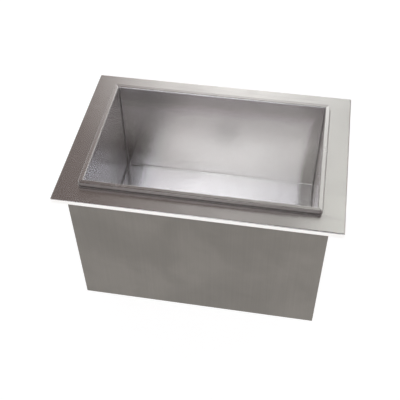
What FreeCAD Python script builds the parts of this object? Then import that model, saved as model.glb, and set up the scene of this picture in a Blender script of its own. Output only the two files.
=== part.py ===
import FreeCAD, Part
import math
import os
import re

import Sketcher

# Drop-in ice bin for a bar or catering counter.
#
# The bin hangs in a counter cut-out by a flat deck flange whose edges are turned down
# onto the counter. The seat, the bottom of that turned-down edge, is z = 0 and the
# centre of the flange is the origin. X is the long side, -Y the front, +Z up.
# Inside the raised rim hangs a welded liner: a trough bent from one sheet, closed by
# two end panels. A foam filled casing of a wrap, a back and a bottom pan surrounds it,
# and a drain runs from the liner floor through the pan. Four slotted brackets clamp
# the bin up against the underside of the counter.

# Driving dimensions in millimetres: name, value and what it is.
SIZE_TABLE = [
    ("flange_length", 558.8, "deck flange, left to right"),
    ("flange_depth", 381.0, "deck flange, front to back"),
    ("edge_drop", 10.0, "height of the turned-down edge"),
    ("flange_corner", 3.0, "corner radius of the flange in plan"),
    ("sheet", 1.2, "sheet of the deck and the liner"),
    ("bend", 1.0, "inside radius of their bends"),
    ("overhang_side", 27.9, "deck flange beyond the casing, left and right"),
    ("overhang_front", 12.5, "deck flange beyond the casing, front and back"),
    ("wall_side", 26.5, "face of the casing to the clear opening, left and right"),
    ("wall_front", 37.0, "face of the casing to the clear opening, front and back"),
    ("rim_height", 11.2, "raised rim above the deck"),
    ("rim_width", 9.8, "flat top of the rim"),
    ("rim_corner", 7.0, "outer corner radius of the rim in plan"),
    ("rim_soften", 0.9, "ground weld along the rim's outer edge"),
    ("liner_depth", 228.6, "deck top to liner floor"),
    ("cove", 5.0, "radius between liner floor and walls"),
    ("floor_room", 88.9, "liner floor to the bottom of the casing"),
    ("shell_sheet", 0.9, "sheet of the casing"),
    ("shell_bend", 1.1, "inside radius of the casing's bends"),
    ("rear_return", 15.0, "inward returns of the wrap at the back"),
    ("top_return", 12.0, "inward returns of the wrap under the deck"),
    ("return_gap", 4.0, "notch between two returns at a corner"),
    ("back_play", 0.4, "play of the back panel beside the wrap's bends"),
    ("pan_flange", 15.0, "upturned edges of the bottom pan"),
    ("pan_corner", 3.0, "corner radius of the bottom pan"),
    ("foam_gap", 0.3, "gap round the foam block"),
    ("rivet_radius", 1.6, "rivet shank"),
    ("rivet_head_radius", 3.1, "rivet head"),
    ("rivet_head_height", 1.1, "height of a rivet head"),
    ("rivet_play", 0.05, "play of a rivet in its hole"),
    ("rivet_margin", 28.0, "first rivet from the end of its row"),
    ("drain_radius", 36.0, "hole in the liner floor"),
    ("cup_lip", 8.0, "weld lip of the drain cup"),
    ("cup_sheet", 1.2, "sheet of the drain cup"),
    ("ledge_drop", 5.0, "liner floor to the strainer's ledge"),
    ("ledge_width", 5.0, "width of the ledge"),
    ("cup_drop", 22.0, "liner floor to the bottom of the cup"),
    ("strainer_sheet", 1.5, "strainer plate"),
    ("strainer_play", 0.6, "gap round the strainer plate"),
    ("strainer_rest", 0.3, "strainer plate above its ledge"),
    ("strainer_hole", 2.2, "radius of a strainer hole"),
    ("strainer_margin", 4.0, "outer ring of holes inside the ledge"),
    ("nipple_radius", 16.7, "outside of the drain nipple"),
    ("nipple_wall", 3.4, "wall of the drain nipple"),
    ("nipple_drop", 38.0, "nipple below the casing"),
    ("thread_cut", 0.3, "mean depth of the thread on the nipple's free end"),
    ("nipple_chamfer", 1.5, "lead-in at the nipple's end"),
    ("drain_play", 0.1, "play of the rings on the nipple"),
    ("seal_radius", 27.0, "rubber seal under the pan"),
    ("seal_height", 3.0, "thickness of the rubber seal"),
    ("backing_radius", 25.0, "steel washer under the seal"),
    ("backing_height", 1.5, "thickness of the steel washer"),
    ("locknut_flats", 44.5, "locknut across flats"),
    ("locknut_height", 8.0, "thickness of the locknut"),
    ("locknut_chamfer", 1.2, "chamfer on the locknut's corners"),
    ("plug_radius", 9.5, "stem of a foam plug"),
    ("plug_head", 2.5, "head of a foam plug beyond its stem"),
    ("plug_head_height", 1.2, "height of a foam plug's head"),
    ("plug_length", 6.0, "stem of a foam plug above the pan"),
    ("plug_inset_side", 101.5, "foam plug from the casing's side"),
    ("plug_inset_front", 83.0, "foam plug from the casing's front or back"),
    ("gasket_inset", 1.3, "counter gasket from the turned-down edge"),
    ("gasket_gap", 2.0, "counter gasket from the casing, front and back"),
    ("counter_thickness", 25.0, "counter that the brackets clamp at rest"),
    ("bracket_travel", 12.0, "slide of a bracket, up and down"),
    ("bracket_inset", 68.0, "middle of a bracket from the casing's front or back"),
    ("bracket_width", 50.0, "width of a bracket"),
    ("bracket_sheet", 2.5, "sheet of a bracket"),
    ("bracket_bend", 2.0, "inside bend radius of a bracket"),
    ("bracket_toe", 26.0, "reach of a bracket under the counter"),
    ("bracket_corner", 4.0, "rounded corners of the toe"),
    ("leg_margin", 7.0, "leg beyond the slots, top and bottom"),
    ("slot_play", 0.3, "slot beyond the screw, left and right"),
    ("slot_spare", 0.7, "slot beyond the screw at each limit"),
    ("screw_pitch", 30.0, "distance between the slots of a bracket"),
    ("bracket_play", 0.3, "gap on each face of a bracket"),
    ("screw_radius", 3.0, "bracket screw"),
    ("screw_head_radius", 5.5, "head of a bracket screw"),
    ("screw_head_height", 3.6, "height of a screw head"),
    ("screw_head_round", 1.4, "rounding of a screw head"),
    ("screw_tip", 1.0, "screw beyond its nut"),
    ("washer_radius", 7.5, "washer under a screw head"),
    ("washer_height", 1.2, "thickness of the washer"),
    ("nut_wall", 1.3, "pilot of a clinch nut beyond its screw"),
    ("nut_shoulder", 1.2, "body of a clinch nut beyond its pilot"),
    ("nut_length", 6.0, "length of a clinch nut inside the casing"),
    ("thread_play", 0.05, "play of a screw in its nut"),
    ("overrun", 1.0, "how far a cut runs past what it cuts"),
]

# How many of each fastener and hole, and where they stand as shares of the length
# between the first and the last of a row.
COLUMN_RIVET_SHARES = [0, 0.25, 0.5, 0.75, 1]
BACK_ROW_SHARES = [0.1, 0.37, 0.63, 0.9]
SIDE_ROW_SHARES = [0, 0.5, 1]
RING_COUNT = 3
FIRST_RING_COUNT = 6
RIVET_DOME_SHARE = 0.8

# Sizes and places that follow from the driving dimensions.
PLACES = {
    "deck_top": "edge_drop",
    "deck_under": "deck_top - sheet",
    "rim_top": "deck_top + rim_height",
    "rim_under": "rim_top - sheet",
    "flange_x": "flange_length / 2",
    "flange_y": "flange_depth / 2",
    "shell_x": "flange_x - overhang_side",
    "shell_y": "flange_y - overhang_front",
    "opening_x": "shell_x - wall_side",
    "opening_y": "shell_y - wall_front",
    "rim_x": "opening_x + rim_width",
    "rim_y": "opening_y + rim_width",
    "liner_x": "opening_x + sheet",
    "liner_y": "opening_y + sheet",
    "floor_top": "deck_top - liner_depth",
    "floor_under": "floor_top - sheet",
    "ledge_top": "floor_top - ledge_drop",
    "ledge_radius": "drain_radius - ledge_width",
    "cup_floor": "floor_top - cup_drop",
    "strainer_pitch": f"(ledge_radius - strainer_margin) / {RING_COUNT}",
    "shell_base": "floor_top - floor_room",
    "inside_x": "shell_x - shell_sheet",
    "inside_y": "shell_y - shell_sheet",
    "pan_back": "inside_y - shell_sheet",
    "pan_top": "shell_base + pan_flange",
    "plug_x": "shell_x - plug_inset_side",
    "plug_y": "shell_y - plug_inset_front",
    "nipple_end": "shell_base - nipple_drop",
    "thread_radius": "nipple_radius - thread_cut",
    "locknut_foot": "shell_base - seal_height - backing_height - locknut_height",
    "gasket_width": "overhang_front - sheet - gasket_inset - gasket_gap",
    "toe_top": "-counter_thickness",
    "slot_width": "2 * (screw_radius + slot_play)",
    "slot_length": "2 * (bracket_travel + slot_spare) + slot_width",
    "slot_middle": "toe_top - bracket_sheet - bracket_bend - leg_margin - slot_length / 2",
    "leg_foot": "slot_middle - slot_length / 2 - leg_margin",
    "bracket_y": "shell_y - bracket_inset",
    "bracket_face": "shell_x + bracket_play",
    "washer_face": "bracket_face + bracket_sheet + bracket_play",
    "screw_face": "washer_face + washer_height",
    "nut_pilot": "screw_radius + nut_wall",
    "nut_radius": "nut_pilot + nut_shoulder",
    "rivet_row": "shell_base + pan_flange / 2",
    "rivet_column": "shell_x - rear_return / 2",
}

SIZE_NAMES = [row[0] for row in SIZE_TABLE]
TOLERANCE = 1e-4

doc = FreeCAD.newDocument("drop_in_ice_bin")
sheet = doc.addObject("Spreadsheet::Sheet", "Sizes")


def fill_sheet():
    """Writes the driving dimensions into the sheet, one row each."""
    for number, (name, size, meaning) in enumerate(SIZE_TABLE, start=1):
        sheet.set(f"A{number}", name)
        sheet.set(f"B{number}", str(size))
        sheet.set(f"C{number}", meaning)
        sheet.setAlias(f"B{number}", name)
    doc.recompute()


def formula(text):
    """Turns a formula in size and place names into one that points at the sheet."""
    def expand(match):
        word = match.group(0)
        if word in PLACES:
            return "(" + formula(PLACES[word]) + ")"
        if word in SIZE_NAMES:
            return "Sizes." + word
        return word
    return re.sub(r"[a-z_]+", expand, text)


def value(text):
    """The number that a formula gives with the sheet's present sizes."""
    return float(sheet.evalExpression(formula(text)))


def bind(item, property_name, text):
    """Binds one property of an object to a formula."""
    item.setExpression(property_name, formula(text))


# Bodies, sketches and features.

def new_body(label):
    """An empty body with its label."""
    body = doc.addObject("PartDesign::Body", label)
    body.Label = label
    return body


def new_sketch(body, plane, name, offset="0"):
    """A sketch on one of the body's own planes, moved along the plane's normal."""
    sketch = body.newObject("Sketcher::SketchObject", name)
    for feature in body.Origin.OriginFeatures:
        if feature.Role == plane:
            sketch.AttachmentSupport = (feature, [""])
    sketch.MapMode = "FlatFace"
    if offset != "0":
        bind(sketch, "AttachmentOffset.Base.z", offset)
    return sketch


def pin(sketch, item, end, x, y):
    """Holds one point of a sketch at two formulas from the sketch's origin."""
    for kind, text, axis in (("DistanceX", x, -2), ("DistanceY", y, -1)):
        if text == "0":
            sketch.addConstraint(Sketcher.Constraint("PointOnObject", item, end, axis))
        else:
            number = sketch.addConstraint(Sketcher.Constraint(kind, item, end, value(text)))
            bind(sketch, f"Constraints[{number}]", text)


def hold_radius(sketch, item, radius):
    """Holds the radius of a circle or an arc at a formula."""
    number = sketch.addConstraint(Sketcher.Constraint("Radius", item, value(radius)))
    bind(sketch, f"Constraints[{number}]", radius)


def add_circle(sketch, x, y, radius):
    """A circle whose centre and radius are formulas."""
    centre = FreeCAD.Vector(value(x), value(y), 0)
    circle = Part.Circle(centre, FreeCAD.Vector(0, 0, 1), value(radius))
    item = sketch.addGeometry(circle, False)
    hold_radius(sketch, item, radius)
    pin(sketch, item, 3, x, y)


def step_towards(corner, other, radius):
    """The point on the side from corner to other, one radius away from the corner."""
    run = value(f"({other[0]}) - ({corner[0]})")
    rise = value(f"({other[1]}) - ({corner[1]})")
    if abs(run) > abs(rise):
        sign = "+" if run > 0 else "-"
        return (f"{corner[0]} {sign} ({radius})", corner[1])
    sign = "+" if rise > 0 else "-"
    return (corner[0], f"{corner[1]} {sign} ({radius})")


def as_vector(point):
    return FreeCAD.Vector(value(point[0]), value(point[1]), 0)


def add_loop(sketch, corners):
    """A closed outline. A corner is two formulas, and a third one rounds it."""
    count = len(corners)
    entries = []
    exits = []
    for index, corner in enumerate(corners):
        before = corners[index - 1]
        after = corners[(index + 1) % count]
        if len(corner) == 3:
            entries.append(step_towards(corner, before, corner[2]))
            exits.append(step_towards(corner, after, corner[2]))
        else:
            entries.append(corner)
            exits.append(corner)
    lines = []
    for index in range(count):
        start = exits[index]
        end = entries[(index + 1) % count]
        line = Part.LineSegment(as_vector(start), as_vector(end))
        lines.append(sketch.addGeometry(line, False))
    for index, corner in enumerate(corners):
        incoming = lines[index - 1]
        outgoing = lines[index]
        pin(sketch, outgoing, 1, exits[index][0], exits[index][1])
        if len(corner) == 2:
            sketch.addConstraint(Sketcher.Constraint("Coincident", incoming, 2, outgoing, 1))
            continue
        pin(sketch, incoming, 2, entries[index][0], entries[index][1])
        round_corner(sketch, corner, entries[index], exits[index], incoming, outgoing)


def round_corner(sketch, corner, entry, leave, incoming, outgoing):
    """Joins two square sides of an outline by a quarter circle."""
    start = as_vector(entry)
    end = as_vector(leave)
    centre = start + end - as_vector(corner)
    from_start = start - centre
    to_end = end - centre
    turns_left = from_start.cross(to_end).z > 0
    if not turns_left:
        from_start, to_end = to_end, from_start
    first = math.atan2(from_start.y, from_start.x)
    last = math.atan2(to_end.y, to_end.x)
    if last < first:
        last += 2 * math.pi
    circle = Part.Circle(centre, FreeCAD.Vector(0, 0, 1), value(corner[2]))
    item = sketch.addGeometry(Part.ArcOfCircle(circle, first, last), False)
    arc_in, arc_out = (1, 2) if turns_left else (2, 1)
    sketch.addConstraint(Sketcher.Constraint("Coincident", incoming, 2, item, arc_in))
    sketch.addConstraint(Sketcher.Constraint("Coincident", outgoing, 1, item, arc_out))
    hold_radius(sketch, item, corner[2])


def add_rectangle(sketch, low_x, low_y, high_x, high_y, radius=None):
    """A rectangle between two corners, rounded where a radius is given."""
    corners = [(low_x, low_y), (high_x, low_y), (high_x, high_y), (low_x, high_y)]
    if radius:
        corners = [corner + (radius,) for corner in corners]
    add_loop(sketch, corners)


def add_centred(sketch, half_x, half_y, radius=None):
    """A rectangle round the sketch's origin."""
    add_rectangle(sketch, f"-({half_x})", f"-({half_y})", half_x, half_y, radius)


def extrude(body, kind, sketch, name, length, both):
    """A pad or a pocket along the sketch's normal, or to both sides of the sketch."""
    feature = body.newObject(kind, name)
    feature.Profile = sketch
    if both:
        feature.SideType = "Symmetric"
    elif kind == "PartDesign::Pocket":
        feature.Reversed = True
    if length:
        bind(feature, "Length", length)
    else:
        feature.Type = "ThroughAll"
    doc.recompute()
    return feature


def pad(body, sketch, name, length, both=False):
    return extrude(body, "PartDesign::Pad", sketch, name, length, both)


def pocket(body, sketch, name, length=None):
    """Cuts along the sketch's normal, or through everything where no length is given."""
    before = body.Tip.Shape.Volume
    feature = extrude(body, "PartDesign::Pocket", sketch, name, length, both=not length)
    if feature.Shape.Volume >= before:
        raise RuntimeError(f"{body.Label}: {name} cuts nothing")
    return feature


def revolve(body, sketch, name):
    """Turns a profile all the way round the sketch's upright axis."""
    feature = body.newObject("PartDesign::Revolution", name)
    feature.Profile = sketch
    feature.ReferenceAxis = (sketch, ["V_Axis"])
    feature.Angle = 360
    doc.recompute()
    return feature


def edge_names(shape, wanted):
    """The names of the edges whose two ends and middle all pass a test."""
    names = []
    for number, edge in enumerate(shape.Edges, start=1):
        middle = edge.valueAt((edge.FirstParameter + edge.LastParameter) / 2)
        points = [vertex.Point for vertex in edge.Vertexes] + [middle]
        if all(wanted(point) for point in points):
            names.append(f"Edge{number}")
    return names


def dress(body, kind, name, size_property, size, wanted):
    """A fillet or a chamfer on the edges of the body's last feature that pass a test."""
    base = body.Tip
    names = edge_names(base.Shape, wanted)
    if not names:
        raise RuntimeError(f"{body.Label}: {name} finds no edge")
    feature = body.newObject(kind, name)
    feature.Base = (base, names)
    bind(feature, size_property, size)
    doc.recompute()
    return feature


def fillet(body, name, radius, wanted):
    return dress(body, "PartDesign::Fillet", name, "Radius", radius, wanted)


def chamfer(body, name, size, wanted):
    return dress(body, "PartDesign::Chamfer", name, "Size", size, wanted)


def near(number, text):
    """Whether a coordinate lies at a formula's value."""
    return abs(number - value(text)) < TOLERANCE


def row_places(first, last, shares):
    """Formulas of places that divide the way from first to last in given shares."""
    return [f"({first}) + (({last}) - ({first})) * {share}" for share in shares]


# Deck flange: one sheet with turned-down edges and an upstand round the opening.

def make_deck_flange():
    body = new_body("deck_flange")
    outer = new_sketch(body, "XY_Plane", "flange_outline")
    add_centred(outer, "flange_x", "flange_y", "flange_corner")
    pad(body, outer, "flange_block", "deck_top")
    fillet(body, "edge_bend", "bend + sheet", lambda p: near(p.z, "deck_top"))
    rim = new_sketch(body, "XY_Plane", "upstand_outline", "deck_under")
    add_centred(rim, "rim_x", "rim_y", "rim_corner")
    pad(body, rim, "upstand_block", "rim_under - deck_under")
    fillet(body, "upstand_bend", "bend", on_upstand_foot)
    hollow = new_sketch(body, "XY_Plane", "underside_outline")
    add_centred(hollow, "flange_x - sheet", "flange_y - sheet", "flange_corner - sheet")
    pocket(body, hollow, "underside", "deck_under")
    through = new_sketch(body, "XY_Plane", "opening_outline")
    add_centred(through, "rim_x - sheet", "rim_y - sheet", "rim_corner - sheet")
    pocket(body, through, "opening")
    fillet(body, "edge_bend_inside", "bend", on_inner_edge_bend)


def on_upstand_foot(point):
    inside = abs(point.x) < value("rim_x") + TOLERANCE and abs(point.y) < value("rim_y") + TOLERANCE
    return near(point.z, "deck_top") and inside


def on_inner_edge_bend(point):
    outside = (abs(point.x) > value("flange_x - sheet - flange_corner")
               or abs(point.y) > value("flange_y - sheet - flange_corner"))
    return near(point.z, "deck_under") and outside


# Liner: a trough and two end panels, mitred where they meet, returned over the rim.

def trim_to_rim(body):
    """Cuts the returns back to the rounded outline of the rim."""
    ring = new_sketch(body, "XY_Plane", "rim_outline")
    add_centred(ring, "rim_x + 3 * overrun", "rim_y + 3 * overrun")
    add_centred(ring, "rim_x", "rim_y", "rim_corner")
    pocket(body, ring, "rim_trim")


def soften_rim(body):
    """Rounds the ground weld along the top outer edge of the returns."""
    def on_outer_edge(point):
        corner_x = abs(point.x) - value("rim_x - rim_corner")
        corner_y = abs(point.y) - value("rim_y - rim_corner")
        if corner_x > 0 and corner_y > 0:
            outer = abs(math.hypot(corner_x, corner_y) - value("rim_corner")) < TOLERANCE
        else:
            outer = near(abs(point.x), "rim_x") or near(abs(point.y), "rim_y")
        return near(point.z, "rim_top") and outer
    fillet(body, "ground_weld", "rim_soften", on_outer_edge)


def make_liner_trough():
    body = new_body("liner_trough")
    profile = new_sketch(body, "YZ_Plane", "trough_profile")
    reach = "rim_y + overrun"
    add_loop(profile, [
        (f"-({reach})", "rim_under"),
        ("-liner_y", "rim_under", "bend"),
        ("-liner_y", "floor_under", "cove + sheet"),
        ("liner_y", "floor_under", "cove + sheet"),
        ("liner_y", "rim_under", "bend"),
        (reach, "rim_under"),
        (reach, "rim_top"),
        ("opening_y", "rim_top", "bend + sheet"),
        ("opening_y", "floor_top", "cove"),
        ("-opening_y", "floor_top", "cove"),
        ("-opening_y", "rim_top", "bend + sheet"),
        (f"-({reach})", "rim_top"),
    ])
    pad(body, profile, "trough_sheet", "2 * (rim_x + overrun)", both=True)
    mitre = new_sketch(body, "XY_Plane", "mitre_outline")
    side = "rim_x + 2 * overrun"
    spread = "opening_y + rim_width + 2 * overrun"
    add_loop(mitre, [
        ("opening_x", "-opening_y"),
        (side, f"-({spread})"),
        (side, spread),
        ("opening_x", "opening_y"),
    ])
    add_loop(mitre, [
        ("-opening_x", "-opening_y"),
        ("-opening_x", "opening_y"),
        (f"-({side})", spread),
        (f"-({side})", f"-({spread})"),
    ])
    pocket(body, mitre, "mitred_ends")
    trim_to_rim(body)
    drain = new_sketch(body, "XY_Plane", "drain_outline", "floor_under - overrun")
    add_circle(drain, "0", "0", "drain_radius")
    pocket(body, drain, "drain_hole", "sheet + 2 * overrun")
    soften_rim(body)


def make_liner_ends():
    body = new_body("liner_end_right")
    join = "rim_under - bend - overrun"
    plate = new_sketch(body, "YZ_Plane", "plate_outline", "opening_x")
    add_loop(plate, [
        ("-liner_y", "floor_under", "cove + sheet"),
        ("liner_y", "floor_under", "cove + sheet"),
        ("liner_y", join),
        ("-liner_y", join),
    ])
    pad(body, plate, "plate", "sheet")
    profile = new_sketch(body, "XZ_Plane", "return_profile")
    reach = "rim_x + overrun"
    add_loop(profile, [
        ("opening_x", join),
        ("liner_x", join),
        ("liner_x", "rim_under", "bend"),
        (reach, "rim_under"),
        (reach, "rim_top"),
        ("opening_x", "rim_top", "bend + sheet"),
    ])
    pad(body, profile, "return", "2 * (rim_y + overrun)", both=True)
    mitre = new_sketch(body, "XY_Plane", "mitre_outline")
    inner = "opening_x - overrun"
    outer = "rim_x + 2 * overrun"
    near_line = "opening_y - overrun"
    far_line = "opening_y + rim_width + 2 * overrun"
    beyond = "opening_y + rim_width + 4 * overrun"
    add_loop(mitre, [
        (inner, near_line),
        (outer, far_line),
        (outer, beyond),
        (inner, beyond),
    ])
    add_loop(mitre, [
        (inner, f"-({near_line})"),
        (inner, f"-({beyond})"),
        (outer, f"-({beyond})"),
        (outer, f"-({far_line})"),
    ])
    pocket(body, mitre, "mitred_sides")
    trim_to_rim(body)
    soften_rim(body)
    left = doc.addObject("Part::Mirroring", "liner_end_left")
    left.Label = "liner_end_left"
    left.Source = body
    left.Normal = FreeCAD.Vector(1, 0, 0)
    doc.recompute()


# Casing: a wrap for the front and the sides, a back panel and a bottom pan.

def add_rivet_columns(sketch):
    """The holes of the two rivet columns at the back, in X and Z."""
    low = "shell_base + rivet_margin"
    high = "deck_under - rivet_margin"
    for place in row_places(low, high, COLUMN_RIVET_SHARES):
        add_circle(sketch, "rivet_column", place, "rivet_radius + rivet_play")
        add_circle(sketch, "-rivet_column", place, "rivet_radius + rivet_play")


def back_row_places():
    return row_places("-inside_x", "inside_x", BACK_ROW_SHARES)


def side_row_places():
    return row_places("-inside_y + rivet_margin", "pan_back - rivet_margin", SIDE_ROW_SHARES)


def bracket_screw_places():
    """Places of the four bracket screws of one side, along Y."""
    places = []
    for bracket_side in ("-", ""):
        for slot_side in ("-", ""):
            places.append(f"{bracket_side}bracket_y + ({slot_side}screw_pitch / 2)")
    return places


def make_shell_wrap():
    body = new_body("shell_wrap")
    plan = new_sketch(body, "XY_Plane", "wrap_outline", "shell_base")
    lip = "shell_x - rear_return"
    add_loop(plan, [
        (f"-({lip})", "shell_y"),
        ("-shell_x", "shell_y", "shell_bend + shell_sheet"),
        ("-shell_x", "-shell_y", "shell_bend + shell_sheet"),
        ("shell_x", "-shell_y", "shell_bend + shell_sheet"),
        ("shell_x", "shell_y", "shell_bend + shell_sheet"),
        (lip, "shell_y"),
        (lip, "inside_y"),
        ("inside_x", "inside_y", "shell_bend"),
        ("inside_x", "-inside_y", "shell_bend"),
        ("-inside_x", "-inside_y", "shell_bend"),
        ("-inside_x", "inside_y", "shell_bend"),
        (f"-({lip})", "inside_y"),
    ])
    pad(body, plan, "wrap_sheet", "deck_under - shell_base")
    top = new_sketch(body, "XY_Plane", "return_outlines", "deck_under - shell_sheet")
    front_end = "inside_x - top_return - return_gap"
    side_end = "inside_y - top_return - return_gap"
    add_rectangle(top, f"-({front_end})", "-inside_y", front_end, "-(inside_y - top_return)")
    add_rectangle(top, "inside_x - top_return", f"-({side_end})", "inside_x", side_end)
    add_rectangle(top, "-inside_x", f"-({side_end})", "-(inside_x - top_return)", side_end)
    pad(body, top, "top_returns", "shell_sheet")
    sides = new_sketch(body, "YZ_Plane", "side_holes")
    for place in bracket_screw_places():
        add_circle(sides, place, "slot_middle", "nut_pilot + thread_play")
    for place in side_row_places():
        add_circle(sides, place, "rivet_row", "rivet_radius + rivet_play")
    pocket(body, sides, "holes_in_the_sides")
    rear = new_sketch(body, "XZ_Plane", "rear_holes", "-(shell_y + overrun)")
    add_rivet_columns(rear)
    pocket(body, rear, "holes_in_the_returns", "shell_sheet + 2 * overrun")


def make_shell_back():
    body = new_body("shell_back")
    panel = new_sketch(body, "XZ_Plane", "panel_outline", "-inside_y")
    half = "inside_x - shell_bend - back_play"
    add_rectangle(panel, f"-({half})", "shell_base", half, "deck_under")
    add_rivet_columns(panel)
    for place in back_row_places():
        add_circle(panel, place, "rivet_row", "rivet_radius + rivet_play")
    pad(body, panel, "panel", "shell_sheet")


def make_shell_bottom():
    body = new_body("shell_bottom_pan")
    block = new_sketch(body, "XY_Plane", "pan_outline", "shell_base")
    add_rectangle(block, "-inside_x", "-inside_y", "inside_x", "pan_back", "pan_corner")
    pad(body, block, "pan_block", "pan_flange")
    hollow = new_sketch(body, "XY_Plane", "pan_inside", "shell_base + shell_sheet")
    add_rectangle(hollow, "-(inside_x - shell_sheet)", "-(inside_y - shell_sheet)",
                  "inside_x - shell_sheet", "pan_back - shell_sheet", "pan_corner - shell_sheet")
    pocket(body, hollow, "pan_hollow", "pan_flange")
    holes = new_sketch(body, "XY_Plane", "floor_holes")
    add_circle(holes, "0", "0", "nipple_radius + drain_play")
    add_circle(holes, "plug_x", "plug_y", "plug_radius")
    add_circle(holes, "-plug_x", "-plug_y", "plug_radius")
    pocket(body, holes, "holes_in_the_floor")
    sides = new_sketch(body, "YZ_Plane", "side_holes")
    for place in side_row_places():
        add_circle(sides, place, "rivet_row", "rivet_radius + rivet_play")
    pocket(body, sides, "holes_in_the_sides")
    rear = new_sketch(body, "XZ_Plane", "rear_holes", "-(pan_back + overrun)")
    for place in back_row_places():
        add_circle(rear, place, "rivet_row", "rivet_radius + rivet_play")
    pocket(body, rear, "holes_in_the_back", "shell_sheet + 2 * overrun")


# Foam: one block poured between the liner and the casing, up into the rim.

def make_foam():
    body = new_body("foam_insulation")
    foot = "shell_base + shell_sheet + foam_gap"
    step = "pan_top + foam_gap"
    top = "deck_under - shell_sheet - foam_gap"
    low = new_sketch(body, "XY_Plane", "foot_outline", foot)
    slim = "(shell_sheet + foam_gap)"
    add_rectangle(low, f"-(inside_x - {slim})", f"-(inside_y - {slim})",
                  f"inside_x - {slim}", f"pan_back - {slim}", "pan_corner")
    pad(body, low, "foot", f"({step}) - ({foot})")
    main = new_sketch(body, "XY_Plane", "block_outline", step)
    add_rectangle(main, "-(inside_x - foam_gap)", "-(inside_y - foam_gap)",
                  "inside_x - foam_gap", "pan_back - foam_gap", "pan_corner")
    pad(body, main, "block", f"({top}) - ({step})")
    rim = new_sketch(body, "XY_Plane", "rim_outline", top)
    add_centred(rim, "rim_x - sheet - foam_gap", "rim_y - sheet - foam_gap", "rim_corner - sheet")
    pad(body, rim, "rim_filling", f"rim_under - bend - ({top})")
    cavity = new_sketch(body, "XY_Plane", "cavity_outline", "floor_under - foam_gap")
    add_centred(cavity, "liner_x + foam_gap", "liner_y + foam_gap")
    pocket(body, cavity, "cavity", "rim_top - floor_under")
    cup = new_sketch(body, "XY_Plane", "cup_outline", "cup_floor - cup_sheet - foam_gap")
    add_circle(cup, "0", "0", "drain_radius + cup_lip + foam_gap")
    pocket(body, cup, "cup_recess", "floor_under - cup_floor + cup_sheet")
    pipe = new_sketch(body, "XY_Plane", "pipe_outline")
    add_circle(pipe, "0", "0", "nipple_radius + foam_gap")
    pocket(body, pipe, "pipe_hole")
    plugs = new_sketch(body, "XY_Plane", "plug_outlines", "shell_base")
    add_circle(plugs, "plug_x", "plug_y", "plug_radius + foam_gap")
    add_circle(plugs, "-plug_x", "-plug_y", "plug_radius + foam_gap")
    pocket(body, plugs, "plug_holes", "shell_sheet + plug_length + foam_gap")
    for side in ("-", ""):
        reach = "nut_length + screw_tip + foam_gap"
        start = "inside_x - nut_length - screw_tip - foam_gap" if side == "" else "-inside_x"
        nuts = new_sketch(body, "YZ_Plane", "nut_outlines", start)
        for place in bracket_screw_places():
            add_circle(nuts, place, "slot_middle", "nut_radius + foam_gap")
        pocket(body, nuts, "nut_recesses", reach)


def make_foam_plugs():
    body = new_body("foam_fill_plugs")
    for side in ("-", ""):
        head = new_sketch(body, "XY_Plane", "head_outline", "shell_base - plug_head_height")
        add_circle(head, f"{side}plug_x", f"{side}plug_y", "plug_radius + plug_head")
        pad(body, head, "head", "plug_head_height")
        stem = new_sketch(body, "XY_Plane", "stem_outline", "shell_base - plug_head_height")
        add_circle(stem, f"{side}plug_x", f"{side}plug_y", "plug_radius - rivet_play")
        pad(body, stem, "stem", "plug_head_height + shell_sheet + plug_length")


# Drain: a stepped cup under the liner floor, a strainer on its ledge and a pipe nipple
# held to the pan by a rubber seal, a washer and a locknut.

def make_drain_cup():
    body = new_body("drain_cup")
    profile = new_sketch(body, "XZ_Plane", "cup_profile")
    bore = "nipple_radius + drain_play"
    add_loop(profile, [
        ("drain_radius", "floor_under"),
        ("drain_radius", "ledge_top"),
        ("ledge_radius", "ledge_top"),
        ("ledge_radius", "cup_floor", "cup_sheet"),
        (bore, "cup_floor"),
        (bore, "cup_floor - cup_sheet"),
        ("ledge_radius + cup_sheet", "cup_floor - cup_sheet", "2 * cup_sheet"),
        ("ledge_radius + cup_sheet", "ledge_top - cup_sheet"),
        ("drain_radius + cup_sheet", "ledge_top - cup_sheet"),
        ("drain_radius + cup_sheet", "floor_under - cup_sheet"),
        ("drain_radius + cup_lip", "floor_under - cup_sheet"),
        ("drain_radius + cup_lip", "floor_under"),
    ])
    revolve(body, profile, "cup")


def make_strainer():
    body = new_body("strainer_plate")
    disc = new_sketch(body, "XY_Plane", "disc_outline", "ledge_top + strainer_rest")
    add_circle(disc, "0", "0", "drain_radius - strainer_play")
    pad(body, disc, "disc", "strainer_sheet")
    holes = new_sketch(body, "XY_Plane", "hole_pattern")
    add_circle(holes, "0", "0", "strainer_hole")
    for ring in range(1, RING_COUNT + 1):
        count = FIRST_RING_COUNT * ring
        for index in range(count):
            turn = 360 / count * (index + 0.5)
            x = f"{ring} * strainer_pitch * cos({turn} deg)"
            y = f"{ring} * strainer_pitch * sin({turn} deg)"
            add_circle(holes, x, y, "strainer_hole")
    pocket(body, holes, "holes")


def make_nipple():
    body = new_body("drain_nipple")
    profile = new_sketch(body, "XZ_Plane", "pipe_profile")
    inner = "nipple_radius - nipple_wall"
    add_loop(profile, [
        (inner, "nipple_end"),
        ("thread_radius", "nipple_end"),
        ("thread_radius", "locknut_foot"),
        ("nipple_radius", "locknut_foot"),
        ("nipple_radius", "cup_floor"),
        (inner, "cup_floor"),
    ])
    revolve(body, profile, "pipe")
    chamfer(body, "lead_in", "nipple_chamfer", lambda p: near(p.z, "nipple_end")
            and near(math.hypot(p.x, p.y), "thread_radius"))


def make_ring(label, top, height, radius):
    """A flat ring on the nipple that hangs down from a height."""
    body = new_body(label)
    outline = new_sketch(body, "XY_Plane", "ring_outline", f"{top} - ({height})")
    add_circle(outline, "0", "0", radius)
    add_circle(outline, "0", "0", "nipple_radius + drain_play")
    pad(body, outline, "ring", height)


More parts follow.
